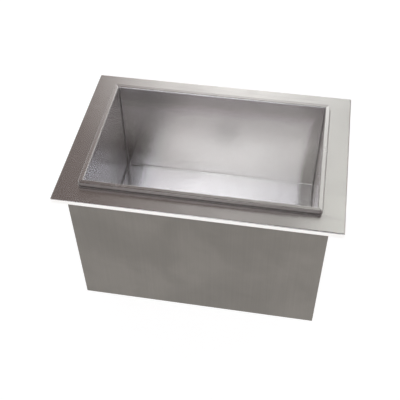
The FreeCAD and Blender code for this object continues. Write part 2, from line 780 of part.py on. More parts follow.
def make_locknut():
    body = new_body("drain_locknut")
    outline = new_sketch(body, "XY_Plane", "hexagon", "locknut_foot")
    corners = []
    for index in range(6):
        x = f"locknut_flats / sqrt(3) * cos({60 * index + 30} deg)"
        y = f"locknut_flats / sqrt(3) * sin({60 * index + 30} deg)"
        if index in (1, 4):
            x = "0"
        corners.append((x, y))
    add_loop(outline, corners)
    add_circle(outline, "0", "0", "nipple_radius + drain_play")
    pad(body, outline, "nut", "locknut_height")
    chamfer(body, "corner_chamfer", "locknut_chamfer", lambda p: near(p.z, "locknut_foot")
            and math.hypot(p.x, p.y) > value("nipple_radius + drain_play + overrun"))


# Counter gasket: foam tape under the deck, inside the turned-down edge.

def make_gasket():
    body = new_body("flange_gasket")
    outline = new_sketch(body, "XY_Plane", "tape_outline")
    outer_x = "flange_x - sheet - gasket_inset"
    outer_y = "flange_y - sheet - gasket_inset"
    add_centred(outline, outer_x, outer_y)
    add_centred(outline, f"{outer_x} - gasket_width", f"{outer_y} - gasket_width")
    pad(body, outline, "tape", "deck_under")


# Brackets: slotted angles that slide on their screws up to the counter's underside.

def make_bracket(label, side_x, side_y):
    """One bracket, drawn for the right side and turned round for the left one."""
    body = new_body(label)
    profile = new_sketch(body, "XZ_Plane", "angle_profile")
    add_loop(profile, [
        ("0", "leg_foot"),
        ("bracket_sheet", "leg_foot"),
        ("bracket_sheet", "toe_top - bracket_sheet", "bracket_bend"),
        ("bracket_toe", "toe_top - bracket_sheet"),
        ("bracket_toe", "toe_top"),
        ("0", "toe_top", "bracket_bend + bracket_sheet"),
    ])
    pad(body, profile, "angle", "bracket_width", both=True)
    slots = new_sketch(body, "YZ_Plane", "slot_outlines")
    half = "slot_width / 2"
    for side in ("-", ""):
        middle = f"{side}screw_pitch / 2"
        for end in ("-", "+"):
            place = f"slot_middle {end} (slot_length / 2 - {half})"
            add_circle(slots, middle, place, half)
        low = f"slot_middle - slot_length / 2 + {half}"
        high = f"slot_middle + slot_length / 2 - {half}"
        bars = new_sketch(body, "YZ_Plane", "slot_bar")
        add_rectangle(bars, f"{middle} - {half}", low, f"{middle} + {half}", high)
        pocket(body, bars, "slot_middle_cut")
    pocket(body, slots, "slot_ends")
    fillet(body, "toe_corners", "bracket_corner", lambda p: near(p.x, "bracket_toe")
           and near(abs(p.y), "bracket_width / 2"))
    turn = 0 if side_x > 0 else 180
    body.Placement.Rotation = FreeCAD.Rotation(FreeCAD.Vector(0, 0, 1), turn)
    bind(body, "Placement.Base.x", "bracket_face" if side_x > 0 else "-bracket_face")
    bind(body, "Placement.Base.y", "bracket_y" if side_y > 0 else "-bracket_y")


# Fasteners: one of each is turned as a body, and its copies are one node.

def make_fastener(label, corners):
    """A turned fastener along +Z, its seat at z = 0, that is only the model of its copies."""
    body = new_body(label)
    profile = new_sketch(body, "XZ_Plane", "profile")
    add_loop(profile, corners)
    revolve(body, profile, "turned")
    return body


def make_group(label, fastener, places):
    """Copies of a fastener: each place is a point and the direction its head points in."""
    copies = []
    for point, direction in places:
        turn = FreeCAD.Rotation(FreeCAD.Vector(0, 0, 1), FreeCAD.Vector(*direction))
        copy = fastener.Shape.copy()
        copy.Placement = FreeCAD.Placement(FreeCAD.Vector(*point), turn)
        copies.append(copy)
    group = doc.addObject("Part::Feature", label)
    group.Label = label
    group.Shape = Part.makeCompound(copies)
    return group


def make_rivets():
    rivet = make_fastener("rivet", [
        ("0", "-2 * shell_sheet"),
        ("rivet_radius", "-2 * shell_sheet"),
        ("rivet_radius", "0"),
        ("rivet_head_radius", "0"),
        ("rivet_head_radius", "rivet_head_height", f"rivet_head_height * {RIVET_DOME_SHARE}"),
        ("0", "rivet_head_height"),
    ])
    low = "shell_base + rivet_margin"
    high = "deck_under - rivet_margin"
    columns = []
    for place in row_places(low, high, COLUMN_RIVET_SHARES):
        for side in (-1, 1):
            point = (side * value("rivet_column"), value("shell_y"), value(place))
            columns.append((point, (0, 1, 0)))
    make_group("back_rivets", rivet, columns)
    rows = []
    for place in back_row_places():
        rows.append(((value(place), value("inside_y"), value("rivet_row")), (0, 1, 0)))
    for place in side_row_places():
        for side in (-1, 1):
            point = (side * value("shell_x"), value(place), value("rivet_row"))
            rows.append((point, (side, 0, 0)))
    make_group("pan_rivets", rivet, rows)


def make_bracket_fasteners():
    shank_end = "-(screw_face - inside_x + nut_length + screw_tip)"
    screw = make_fastener("screw", [
        ("0", shank_end),
        ("screw_radius", shank_end),
        ("screw_radius", "0"),
        ("screw_head_radius", "0"),
        ("screw_head_radius", "screw_head_height", "screw_head_round"),
        ("0", "screw_head_height"),
    ])
    washer = make_fastener("washer", [
        ("slot_width / 2", "0"),
        ("washer_radius", "0"),
        ("washer_radius", "washer_height"),
        ("slot_width / 2", "washer_height"),
    ])
    nut = make_fastener("clinch_nut", [
        ("screw_radius + thread_play", "-(nut_length + shell_sheet)"),
        ("nut_radius", "-(nut_length + shell_sheet)"),
        ("nut_radius", "-shell_sheet"),
        ("nut_pilot", "-shell_sheet"),
        ("nut_pilot", "0"),
        ("screw_radius + thread_play", "0"),
    ])
    for label, fastener, face in (("bracket_screws", screw, "screw_face"),
                                  ("bracket_washers", washer, "washer_face"),
                                  ("clinch_nuts", nut, "shell_x")):
        places = []
        for side in (-1, 1):
            for place in bracket_screw_places():
                point = (side * value(face), value(place), value("slot_middle"))
                places.append((point, (side, 0, 0)))
        make_group(label, fastener, places)


MODELS_ONLY = ["rivet", "screw", "washer", "clinch_nut"]


def make_all():
    fill_sheet()
    make_deck_flange()
    make_liner_trough()
    make_liner_ends()
    make_shell_wrap()
    make_shell_back()
    make_shell_bottom()
    make_foam()
    make_foam_plugs()
    make_drain_cup()
    make_strainer()
    make_nipple()
    make_ring("drain_seal", "shell_base", "seal_height", "seal_radius")
    make_ring("drain_washer", "shell_base - seal_height", "backing_height", "backing_radius")
    make_locknut()
    make_gasket()
    for side_x, word_x in ((-1, "left"), (1, "right")):
        for side_y, word_y in ((-1, "front"), (1, "rear")):
            make_bracket(f"bracket_{word_y}_{word_x}", side_x, side_y)
    make_rivets()
    make_bracket_fasteners()
    doc.recompute()


def pieces():
    """The finished sub-parts, by label."""
    found = {}
    for item in doc.Objects:
        finished = item.TypeId in ("PartDesign::Body", "Part::Mirroring", "Part::Feature")
        if finished and item.Label not in MODELS_ONLY:
            found[item.Label] = item
    return found


def check_document():
    """Stops if a feature failed or a piece is not a valid solid."""
    for item in doc.Objects:
        if "Invalid" in item.State or "Error" in item.State:
            raise RuntimeError(f"{item.Label} failed: {item.State}")
    for label, item in pieces().items():
        shape = item.Shape
        if shape.isNull() or not shape.isValid() or not shape.Solids:
            raise RuntimeError(f"{label} is not a valid solid")


def write_parts():
    os.makedirs("parts", exist_ok=True)
    for label, item in sorted(pieces().items()):
        item.Shape.exportStep(f"parts/{label}.step")
        box = item.Shape.BoundBox
        print(f"{label}: {len(item.Shape.Solids)} solid(s), {item.Shape.Volume / 1000:.1f} cm3, "
              f"x {box.XMin:.1f}..{box.XMax:.1f}, y {box.YMin:.1f}..{box.YMax:.1f}, "
              f"z {box.ZMin:.1f}..{box.ZMax:.1f}")


make_all()
check_document()
write_parts()
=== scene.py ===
import math

import bpy
from mathutils import Matrix, Vector


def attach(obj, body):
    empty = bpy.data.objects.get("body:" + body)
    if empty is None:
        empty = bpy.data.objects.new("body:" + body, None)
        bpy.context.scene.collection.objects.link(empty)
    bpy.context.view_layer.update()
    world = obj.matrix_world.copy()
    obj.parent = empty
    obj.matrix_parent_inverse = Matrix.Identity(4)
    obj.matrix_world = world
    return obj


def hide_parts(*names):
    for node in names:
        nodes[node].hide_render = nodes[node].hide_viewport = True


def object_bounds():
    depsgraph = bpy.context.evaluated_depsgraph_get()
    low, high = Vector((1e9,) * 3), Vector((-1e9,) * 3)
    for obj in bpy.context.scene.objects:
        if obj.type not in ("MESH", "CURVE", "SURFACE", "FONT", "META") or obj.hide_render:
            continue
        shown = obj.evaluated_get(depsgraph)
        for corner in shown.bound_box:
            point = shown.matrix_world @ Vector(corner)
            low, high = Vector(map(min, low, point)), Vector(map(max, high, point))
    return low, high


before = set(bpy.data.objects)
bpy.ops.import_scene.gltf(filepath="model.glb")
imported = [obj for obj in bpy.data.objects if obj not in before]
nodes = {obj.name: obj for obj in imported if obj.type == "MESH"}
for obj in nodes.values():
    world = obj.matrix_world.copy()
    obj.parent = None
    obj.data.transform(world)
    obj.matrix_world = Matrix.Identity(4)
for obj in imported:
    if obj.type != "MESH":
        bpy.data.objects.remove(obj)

# Looks of a drop-in ice bin: brushed steel deck and liner, dull casing, drain and brackets.
# The frame is that of the loaded solids, in metres. Sizes of modelled pieces are in mm.

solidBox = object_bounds()
lowest = solidBox[0][2]
mm = 0.001
print("frame loaded:", len(nodes), "nodes")


# Camera

cameraLook = {
    "turn": 10.49,      # degrees to the right of straight ahead
    "lift": 48.3,       # degrees above the horizon
    "roll": 1.1,        # degrees
    "sensor": 36,       # mm
    "lens": 64.07,      # mm
    "place": (0.1685, -1.0326, 1.0188),
}


def makeCamera(look):
    turn, lift, roll = (math.radians(look[key]) for key in ("turn", "lift", "roll"))
    back = Vector((math.sin(turn) * math.cos(lift), -math.cos(turn) * math.cos(lift),
                   math.sin(lift)))
    right = Vector((math.cos(turn), math.sin(turn), 0))
    up = back.cross(right)
    rolledRight = right * math.cos(roll) - up * math.sin(roll)
    rolledUp = right * math.sin(roll) + up * math.cos(roll)
    camera = bpy.data.objects.new("binCamera", bpy.data.cameras.new("binCamera"))
    camera.data.sensor_width = look["sensor"]
    camera.data.lens = look["lens"]
    camera.matrix_world = Matrix((rolledRight, rolledUp, back)).transposed().to_4x4()
    camera.matrix_world.translation = look["place"]
    bpy.context.scene.collection.objects.link(camera)
    bpy.context.scene.camera = camera


makeCamera(cameraLook)
bpy.context.scene.view_settings.view_transform = "Standard"
print("camera set")


# Small helpers for node trees

nodeStep = 190


def fillSockets(tree, node, values):
    for key, value in values.items():
        if isinstance(value, bpy.types.NodeSocket):
            tree.links.new(value, node.inputs[key])
        else:
            node.inputs[key].default_value = value


def addNode(tree, kind, inputs=None, **settings):
    node = tree.nodes.new("ShaderNode" + kind)
    node.location = (nodeStep * len(tree.nodes), 0)
    for key, value in settings.items():
        setattr(node, key, value)
    fillSockets(tree, node, inputs or {})
    return node


def maths(tree, operation, first, second=0.0, clamp=False):
    return addNode(tree, "Math", {0: first, 1: second},
                   operation=operation, use_clamp=clamp).outputs[0]


def times(tree, first, second):
    return maths(tree, "MULTIPLY", first, second)


def plus(tree, first, second, clamp=False):
    return maths(tree, "ADD", first, second, clamp)


def vectors(tree, operation, first, second=(0, 0, 0)):
    return addNode(tree, "VectorMath", {0: first, 1: second}, operation=operation).outputs[0]


def dotProduct(tree, first, second):
    node = addNode(tree, "VectorMath", {0: first, 1: second}, operation="DOT_PRODUCT")
    return node.outputs["Value"]


# A value moved from one range to another, clamped.
def ranged(tree, value, low, high, toLow=0.0, toHigh=1.0, soft=False):
    inputs = {"Value": value, "From Min": low, "From Max": high,
              "To Min": toLow, "To Max": toHigh}
    kind = "SMOOTHSTEP" if soft else "LINEAR"
    return addNode(tree, "MapRange", inputs, interpolation_type=kind).outputs["Result"]


def noise(tree, vector, scale, detail, rough, twist=0.0):
    inputs = {"Vector": vector, "Scale": scale, "Detail": detail,
              "Roughness": rough, "Distortion": twist}
    return addNode(tree, "TexNoise", inputs).outputs["Fac"]


def mixColours(tree, amount, first, second, blend="MIX"):
    node = addNode(tree, "Mix", data_type="RGBA", blend_type=blend)
    for key, value in (("Factor_Float", amount), ("A_Color", first), ("B_Color", second)):
        socket = next(s for s in node.inputs if s.identifier == key)
        if isinstance(value, bpy.types.NodeSocket):
            tree.links.new(value, socket)
        else:
            socket.default_value = value if isinstance(value, (int, float)) else (*value[:3], 1)
    return next(s for s in node.outputs if s.identifier == "Result_Color")


def mixValues(tree, amount, first, second):
    return addNode(tree, "Mix", {0: amount, 2: first, 3: second}, data_type="FLOAT").outputs[0]


def grey(tree, level):
    return addNode(tree, "CombineColor", {0: level, 1: level, 2: level}).outputs[0]


def ramp(tree, factor, stops):
    node = addNode(tree, "ValToRGB", {"Fac": factor})
    elements = node.color_ramp.elements
    while len(elements) < len(stops):
        elements.new(0.5)
    for element, (place, colour) in zip(elements, stops):
        element.position = place
        element.color = (*colour, 1)
    return node.outputs["Color"]


# Shared effects as node groups

def newGroup(name, inputs, outputs):
    group = bpy.data.node_groups.new(name, "ShaderNodeTree")
    for label, kind, start in inputs:
        socket = group.interface.new_socket(label, in_out="INPUT", socket_type="NodeSocket" + kind)
        if start is not None:
            socket.default_value = start
    for label in outputs:
        group.interface.new_socket(label, in_out="OUTPUT", socket_type="NodeSocketFloat")
    given = group.nodes.new("NodeGroupInput").outputs
    result = group.nodes.new("NodeGroupOutput").inputs
    return group, given, result


def useGroup(tree, name, **inputs):
    node = tree.nodes.new("ShaderNodeGroup")
    node.node_tree = bpy.data.node_groups[name]
    node.location = (nodeStep * len(tree.nodes), -nodeStep)
    fillSockets(tree, node, inputs)
    return node.outputs


# Brushed lines: Stretch is how many features there are in a metre along each axis. Each
# layer takes a part of it, the scale, detail and roughness of its noise, and a range.

grainLook = {
    "line": {"part": (1, 1, 1), "noise": (1, 3, 0.65), "range": (0.3, 0.7)},
    "middle": {"part": (0.23, 0.23, 0.23), "noise": (1, 2, 0.6), "range": (0.32, 0.68)},
    "band": {"part": (0.3, 0.045, 0.045), "noise": (1, 2, 0.5), "range": (0.3, 0.7)},
}


def makeGrainGroup(look):
    group, given, result = newGroup(
        "brushedGrain", [("Vector", "Vector", None), ("Stretch", "Vector", (30, 2600, 2600))],
        ["Line", "Band"])
    stretched = vectors(group, "MULTIPLY", given["Vector"], given["Stretch"])

    def layer(name):
        own = vectors(group, "MULTIPLY", stretched, look[name]["part"])
        return ranged(group, noise(group, own, *look[name]["noise"]), *look[name]["range"])

    group.links.new(mixValues(group, 0.5, layer("line"), layer("middle")), result["Line"])
    group.links.new(layer("band"), result["Band"])


# Marks of handling: soft clouds, wiped smears and a few thin scratches.

marksLook = {
    "cloudNoise": (3, 0.5, 0.4), "cloudRange": (0.3, 0.7),
    "wiped": (14, 40, 40), "smearNoise": (1, 3, 0.5, 0.3), "smearRange": (0.5, 0.8),
    "scratchAxis": (0.3, 0.4, 1), "scratchNoise": (1, 1, 0.5), "scratchRange": (0.79, 0.83),
    "scratches": ((0.5, (9, 1900, 1900)), (2.2, (12, 2300, 2300))),  # turn and stretch
}


def makeMarksGroup(look):
    group, given, result = newGroup(
        "handlingMarks", [("Vector", "Vector", None), ("Size", "Float", 0.12)],
        ["Cloud", "Smear", "Scratch"])
    perSize = maths(group, "DIVIDE", 1.0, given["Size"])
    clouds = noise(group, given["Vector"], perSize, *look["cloudNoise"])
    wiped = vectors(group, "MULTIPLY", given["Vector"], look["wiped"])
    smears = noise(group, wiped, *look["smearNoise"])
    scratches = []
    for turn, stretch in look["scratches"]:
        inputs = {"Vector": given["Vector"], "Axis": look["scratchAxis"], "Angle": turn}
        turned = addNode(group, "VectorRotate", inputs).outputs[0]
        thin = noise(group, vectors(group, "MULTIPLY", turned, stretch), *look["scratchNoise"])
        scratches.append(ranged(group, thin, *look["scratchRange"]))
    group.links.new(ranged(group, clouds, *look["cloudRange"], soft=True), result["Cloud"])
    group.links.new(ranged(group, smears, *look["smearRange"], soft=True), result["Smear"])
    group.links.new(maths(group, "MAXIMUM", *scratches), result["Scratch"])


# Worn or rounded edges, where the normal of a small bevel leaves the surface's own, and
# crevices, 1 in a tight corner and 0 in the open.

wearLook = {"edgeSamples": 6, "edgeRange": (0.97, 0.75),
            "creviceSamples": 8, "creviceRange": (0.85, 0.45)}


def makeEdgeGroup(look):
    group, given, result = newGroup("wornEdges", [("Radius", "Float", 0.001)], ["Edge"])
    soft = addNode(group, "Bevel", {"Radius": given["Radius"]}, samples=look["edgeSamples"])
    plain = addNode(group, "NewGeometry").outputs["Normal"]
    likeness = dotProduct(group, soft.outputs[0], plain)
    group.links.new(ranged(group, likeness, *look["edgeRange"], soft=True), result["Edge"])


def makeCreviceGroup(look):
    group, given, result = newGroup("crevices", [("Reach", "Float", 0.006)], ["Crevice"])
    shade = addNode(group, "AmbientOcclusion", {"Distance": given["Reach"]},
                    samples=look["creviceSamples"]).outputs["AO"]
    group.links.new(ranged(group, shade, *look["creviceRange"]), result["Crevice"])


# Cells of a foam, or grains of a moulded skin.

cellLook = {"heightRange": (0.0, 0.6)}


def makeCellGroup(look):
    group, given, result = newGroup(
        "foamCells", [("Vector", "Vector", None), ("Size", "Float", 0.0008)],
        ["Cell", "Height"])
    perSize = maths(group, "DIVIDE", 1.0, given["Size"])
    bubble = addNode(group, "TexVoronoi", {"Vector": given["Vector"], "Scale": perSize},
                     feature="F1").outputs
    tint = addNode(group, "SeparateColor", {"Color": bubble["Color"]}).outputs[0]
    height = ranged(group, bubble["Distance"], *look["heightRange"], soft=True)
    group.links.new(tint, result["Cell"])
    group.links.new(height, result["Height"])


makeGrainGroup(grainLook)
makeMarksGroup(marksLook)
makeEdgeGroup(wearLook)
makeCreviceGroup(wearLook)
makeCellGroup(cellLook)
print("node groups built")


# Materials

materialFor = {}


def newMaterial(name):
    material = bpy.data.materials.new(name)
    material.use_nodes = True
    tree = material.node_tree
    tree.nodes.clear()
    shader = addNode(tree, "BsdfPrincipled")
    tree.links.new(shader.outputs[0], addNode(tree, "OutputMaterial").inputs["Surface"])
    materialFor[name] = material
    return tree, shader


# Steels. Heights and places are in metres. "upper" is where bent parts start, "lower" where
# turned-down edges start, "foot" the heights where the upstand's foot starts, is full, ends
# and is gone. The band key holds bands of painted shade: see the band mask below. The upper
# and foot colours are painted shade, the crevice colour is painted shade and grime, and the
# lower colour is a painted highlight.
steelLooks = {
    "deckSteel": {
        "colour": (0.71, 0.694, 0.682), "darkLine": 0.94, "rough": 0.23, "lineRough": 0.04,
        "stretch": (9, 2600, 2600), "grain": (1, 0.02, 0.01), "spread": 0.75,
        "bump": 0.25, "cloud": 0.06, "edge": 0.25, "size": 0.16,
        "round": 0.0006, "upperRound": 0.0006,
        "reach": 0.004, "grimeAndShade": 0.8, "grimeAndShadeColour": (0.14, 0.11, 0.1),
        "upper": 0.0112, "upperShadePart": 0.85, "upperShadeColour": (0.4, 0.365, 0.35), "upperRough": 0.5,
        "lower": 0.0086, "lowerHighlightColour": (0.95, 0.935, 0.92),
        "foot": (0.01005, 0.0104, 0.0115, 0.0155), "footShadeColour": (0.08, 0.065, 0.06),
    },
    "troughSteel": {
        "colour": (0.9, 0.886, 0.888), "darkLine": 0.95, "rough": 0.22, "lineRough": 0.04,
        "stretch": (9, 2600, 2600), "grain": (1, 0.02, 0.01), "spread": 0.5,
        "bump": 0.07, "cloud": 0.04, "edge": 0.2, "size": 0.16,
        "round": 0.0003, "upperRound": 0.0014,
        "reach": 0.006, "grimeAndShade": 0.3, "grimeAndShadeColour": (0.3, 0.28, 0.29),
        "upper": 0.0205, "upperShadePart": 0.8, "upperShadeColour": (0.46, 0.44, 0.43), "upperRough": 0.25,
        "bend": 0.142, "groundEdge": 0.1498, "groundColour": (0.3, 0.27, 0.26),
        "shadeBands": {"X": (0.194, 0.212, -0.05), "-X": (0.243, 0.3, -0.4),
                    "Z": (-0.05, 0.004, 1.0)},
        "shadeBandColour": (0.61, 0.595, 0.585),
    },
    "endSteel": {
        "colour": (0.88, 0.868, 0.87), "darkLine": 0.95, "rough": 0.22, "lineRough": 0.04,
        "stretch": (2600, 9, 2600), "grain": (0.02, 1, 0.01), "spread": 0.5,
        "bump": 0.07, "cloud": 0.04, "edge": 0.2, "size": 0.16,
        "round": 0.0003, "upperRound": 0.0014,
        "reach": 0.006, "grimeAndShade": 0.3, "grimeAndShadeColour": (0.3, 0.28, 0.29),
        "upper": 0.0205, "upperShadePart": 0.8, "upperShadeColour": (0.76, 0.745, 0.735),
        "upperRough": 0.24,
        "shadeBands": {"Y": (0.01, 0.14, 0)}, "shadeBandColour": (0.7, 0.68, 0.675),
    },
    "casingSteel": {
        "colour": (0.252, 0.236, 0.216), "darkLine": 0.95, "rough": 0.5, "lineRough": 0.05,
        "stretch": (1500, 1500, 22), "grain": (0.01, 0.02, 1), "spread": 0.35,
        "bump": 0.08, "cloud": 0.1, "edge": 0.35, "size": 0.12, "round": 0.0008,
        "reach": 0.006, "grimeAndShade": 0.4, "grimeAndShadeColour": (0.1, 0.09, 0.08),
    },
    "panSteel": {
        "colour": (0.3, 0.288, 0.272), "darkLine": 0.9, "rough": 0.48, "lineRough": 0.06,
        "stretch": (22, 1500, 1500), "grain": (1, 0.02, 0.01), "spread": 0.35,
        "bump": 0.12, "cloud": 0.12, "edge": 0.35, "size": 0.16, "round": 0.0008,
        "reach": 0.006, "grimeAndShade": 0.45, "grimeAndShadeColour": (0.1, 0.09, 0.08),
    },
    "drainSteel": {
        "colour": (0.88, 0.868, 0.865), "darkLine": 0.93, "rough": 0.22, "lineRough": 0.06,
        "stretch": (700, 700, 700), "grain": (1, 0.02, 0.01), "spread": 0.45,
        "bump": 0.1, "cloud": 0.06, "edge": 0.3, "size": 0.03, "round": 0.0004,
        "reach": 0.003, "grimeAndShade": 0.4, "grimeAndShadeColour": (0.3, 0.27, 0.25),
    },
    "pipeSteel": {
        "colour": (0.66, 0.648, 0.636), "darkLine": 0.85, "rough": 0.28, "lineRough": 0.1,
        "stretch": (300, 300, 2600), "grain": (0.02, 0.01, 1), "spread": 0.4,
        "bump": 0.3, "cloud": 0.12, "edge": 0.3, "size": 0.02, "round": 0.0003,
        "reach": 0.004, "grimeAndShade": 0.5, "grimeAndShadeColour": (0.2, 0.18, 0.16),
    },
    "weldSteel": {
        "colour": (0.45, 0.44, 0.44), "darkLine": 0.9, "rough": 0.5, "lineRough": 0.06,
        "stretch": (900, 900, 900), "grain": (0.3, 0.2, 1), "spread": 0.2,
        "bump": 0.12, "cloud": 0.1, "edge": 0.1, "size": 0.01, "round": 0.0003,
        "reach": 0.003, "grimeAndShade": 0.2, "grimeAndShadeColour": (0.4, 0.38, 0.38),
    },
}

# What all the steels share.
steelWear = {
    "brightBand": 1.12, "edgeRadius": 0.0012, "wornColour": (0.9, 0.89, 0.88),
    "step": 0.0005, "bendStep": 0.0006,             # how soft a change of finish is
    "roundStart": 0.004, "roundFull": 0.003,        # below the bent parts
    "rimGrain": (1, 0.02, 0.01),                    # the rim is ground along X
    "behind": (0.0, 0.05), "belowRim": (0.019, 0.017),
    "footShadePart": 0.75, "footRough": 0.6, "groundHeight": (0.018, 0.019), "groundPart": 0.9,
    "smear": 0.04, "creviceRough": 0.5, "scratch": 0.02,
    "roundSamples": 8, "lineDepth": 0.00004,
}


# Painted shade in bands along a sheet's sides and top, each from 0 at its first place to 1 at its
# second. The third number leans a band over with the height, or for "Z" says how strong it is.
def shadeBandMask(tree, spot, bands):
    mask = None
    for axis, (start, end, third) in bands.items():
        if axis == "Z":
            band = ranged(tree, spot["Z"], start, end, 0, third, soft=True)
        elif axis == "Y":
            band = ranged(tree, maths(tree, "ABSOLUTE", spot["Y"]), start, end)
        else:
            across = times(tree, spot["X"], 1 if axis == "X" else -1)
            leaning = plus(tree, across, times(tree, spot["Z"], third))
            band = ranged(tree, leaning, start, end, soft=True)
        mask = band if mask is None else maths(tree, "MAXIMUM", mask, band)
    behind = ranged(tree, spot["Y"], *steelWear["behind"])
    return times(tree, mask, times(tree, behind, ranged(tree, spot["Z"], *steelWear["belowRim"])))


def brushedColour(tree, look, grain, marks):
    dark = tuple(c * look["darkLine"] for c in look["colour"])
    bright = tuple(min(1, c * steelWear["brightBand"]) for c in look["colour"])
    lined = mixColours(tree, grain["Line"], dark, look["colour"])
    banded = mixColours(tree, times(tree, grain["Band"], 1 - look["darkLine"]), lined, bright)
    cloud = ranged(tree, marks["Cloud"], 0, 1, 1 - look["cloud"], 1 + look["cloud"] / 2)
    return mixColours(tree, 1.0, banded, grey(tree, cloud), "MULTIPLY")


def makeSteel(name, look):
    tree, shader = newMaterial(name)
    place = addNode(tree, "TexCoord").outputs["Object"]
    spot = addNode(tree, "SeparateXYZ", {"Vector": place}).outputs
    grain = useGroup(tree, "brushedGrain", Vector=place, Stretch=look["stretch"])
    marks = useGroup(tree, "handlingMarks", Vector=place, Size=look["size"])
    edge = useGroup(tree, "wornEdges", Radius=steelWear["edgeRadius"])["Edge"]
    crevice = useGroup(tree, "crevices", Reach=look["reach"])["Crevice"]
    step = steelWear["step"]
    colour = brushedColour(tree, look, grain, marks)
    rounding, rough, along = look["round"], look["rough"], look["grain"]
    if "shadeBands" in look:  # painted shade in bands beside the liner's corners and along its top
        shadeBands = shadeBandMask(tree, spot, look["shadeBands"])
        colour = mixColours(tree, shadeBands, colour, look["shadeBandColour"])
    if "upper" in look:  # bent parts are rougher and carry painted shade
        start = look["upper"]
        upper = ranged(tree, spot["Z"], start - step, start)
        if "bend" in look:  # the bend into the liner gets neither the painted shade nor the rougher finish
            inside = maths(tree, "ABSOLUTE", spot["Y"])
            bendEnd = look["bend"] + steelWear["bendStep"]
            upper = times(tree, upper, ranged(tree, inside, look["bend"], bendEnd))
        upperShadePart = times(tree, upper, look["upperShadePart"])
        colour = mixColours(tree, upperShadePart, colour, look["upperShadeColour"])
        rough = mixValues(tree, upper, look["rough"], look["upperRough"])
        along = mixColours(tree, upper, look["grain"], steelWear["rimGrain"])
        rounding = ranged(tree, spot["Z"], start - steelWear["roundStart"],
                          start - steelWear["roundFull"], look["round"], look["upperRound"])
    if "lower" in look:  # painted highlight: turned-down edges are made brighter
        lower = ranged(tree, spot["Z"], look["lower"], look["lower"] - step)
        colour = mixColours(tree, lower, colour, look["lowerHighlightColour"])
    colour = mixColours(tree, times(tree, edge, look["edge"]), colour, steelWear["wornColour"])
    if "foot" in look:  # painted shade and a rougher finish along the foot of the upstand
        start, full, end, gone = look["foot"]
        foot = times(tree, ranged(tree, spot["Z"], start, full),
                     ranged(tree, spot["Z"], gone, end))
        footShadePart = times(tree, foot, steelWear["footShadePart"])
        colour = mixColours(tree, footShadePart, colour, look["footShadeColour"])
        rough = mixValues(tree, foot, rough, steelWear["footRough"])
    if "groundEdge" in look:  # the weld along the rim's outer edge is ground dull
        far = maths(tree, "ABSOLUTE", spot["Y"])
        ground = times(tree, ranged(tree, far, look["groundEdge"] - step, look["groundEdge"]),
                       ranged(tree, spot["Z"], *steelWear["groundHeight"],
                              0, steelWear["groundPart"]))
        colour = mixColours(tree, ground, colour, look["groundColour"])
    # painted shade and grime in crevices, darker where the occlusion mask finds a tight corner
    colour = mixColours(tree, times(tree, crevice, look["grimeAndShade"]), colour, look["grimeAndShadeColour"])
    tree.links.new(colour, shader.inputs["Base Color"])

    half = look["lineRough"] / 2
    rough = plus(tree, rough, ranged(tree, grain["Line"], 0, 1, half, -half))
    rough = plus(tree, rough, times(tree, marks["Smear"], steelWear["smear"]))
    rough = plus(tree, rough, times(tree, crevice, look["grimeAndShade"] * steelWear["creviceRough"]))
    rough = plus(tree, rough, times(tree, marks["Scratch"], steelWear["scratch"]), clamp=True)
    tree.links.new(rough, shader.inputs["Roughness"])

    softened = addNode(tree, "Bevel", {"Radius": rounding}, samples=steelWear["roundSamples"])
    bump = addNode(tree, "Bump", {"Strength": look["bump"], "Distance": steelWear["lineDepth"],
                                  "Height": grain["Line"], "Normal": softened.outputs[0]})
    tree.links.new(bump.outputs[0], shader.inputs["Normal"])
    surface = addNode(tree, "NewGeometry").outputs["Normal"]
    across = vectors(tree, "CROSS_PRODUCT", surface, along)
    tree.links.new(vectors(tree, "NORMALIZE", across), shader.inputs["Tangent"])
    shader.inputs["Metallic"].default_value = 1
    shader.inputs["Anisotropic"].default_value = look["spread"]


for steelName, steelLook in steelLooks.items():
    makeSteel(steelName, steelLook)


cellFinishLooks = {
    "zincPlate": {
        "colour": (0.66, 0.67, 0.69), "second": (0.6, 0.595, 0.56), "rough": 0.3, "metal": 1.0,
        "cell": 0.0011, "bump": 0.2, "size": 0.025,
    },
    "screwPlate": {
        "colour": (0.7, 0.71, 0.73), "second": (0.62, 0.62, 0.6), "rough": 0.24, "metal": 1.0,
        "cell": 0.0006, "bump": 0.12, "size": 0.008,
    },
    "rivetAluminium": {
        "colour": (0.74, 0.745, 0.75), "second": (0.64, 0.64, 0.64), "rough": 0.34, "metal": 1.0,
        "cell": 0.0004, "bump": 0.15, "size": 0.005,
    },
    "blackRubber": {
        "colour": (0.035, 0.035, 0.036), "second": (0.06, 0.058, 0.055), "rough": 0.62,
        "metal": 0.0, "cell": 0.0005, "bump": 0.3, "size": 0.02,
    },
    "gasketFoam": {
        "colour": (0.05, 0.05, 0.052), "second": (0.085, 0.083, 0.08), "rough": 0.85,
        "metal": 0.0, "cell": 0.0007, "bump": 0.7, "size": 0.03,
    },
    "insulationFoam": {
        "colour": (0.8, 0.7, 0.42), "second": (0.7, 0.58, 0.3), "rough": 0.9, "metal": 0.0,
        "cell": 0.0012, "bump": 0.8, "size": 0.05,
    },
    "plugPlastic": {
        "colour": (0.76, 0.755, 0.73), "second": (0.68, 0.67, 0.63), "rough": 0.4, "metal": 0.0,
        "cell": 0.0004, "bump": 0.12, "size": 0.01,
    },
}

# What these finishes share.
cellWear = {
    "edgeRadius": 0.0008, "reach": 0.004, "cellPart": 0.35, "cloudPart": 0.5,
    "edgePart": 0.4, "lighten": 1.25, "lift": 0.03, "grimeAndShadePart": 0.5, "darken": 0.4,
    "smoother": 0.04, "rougher": 0.06, "smear": 0.05, "cellDepth": 0.2,
}
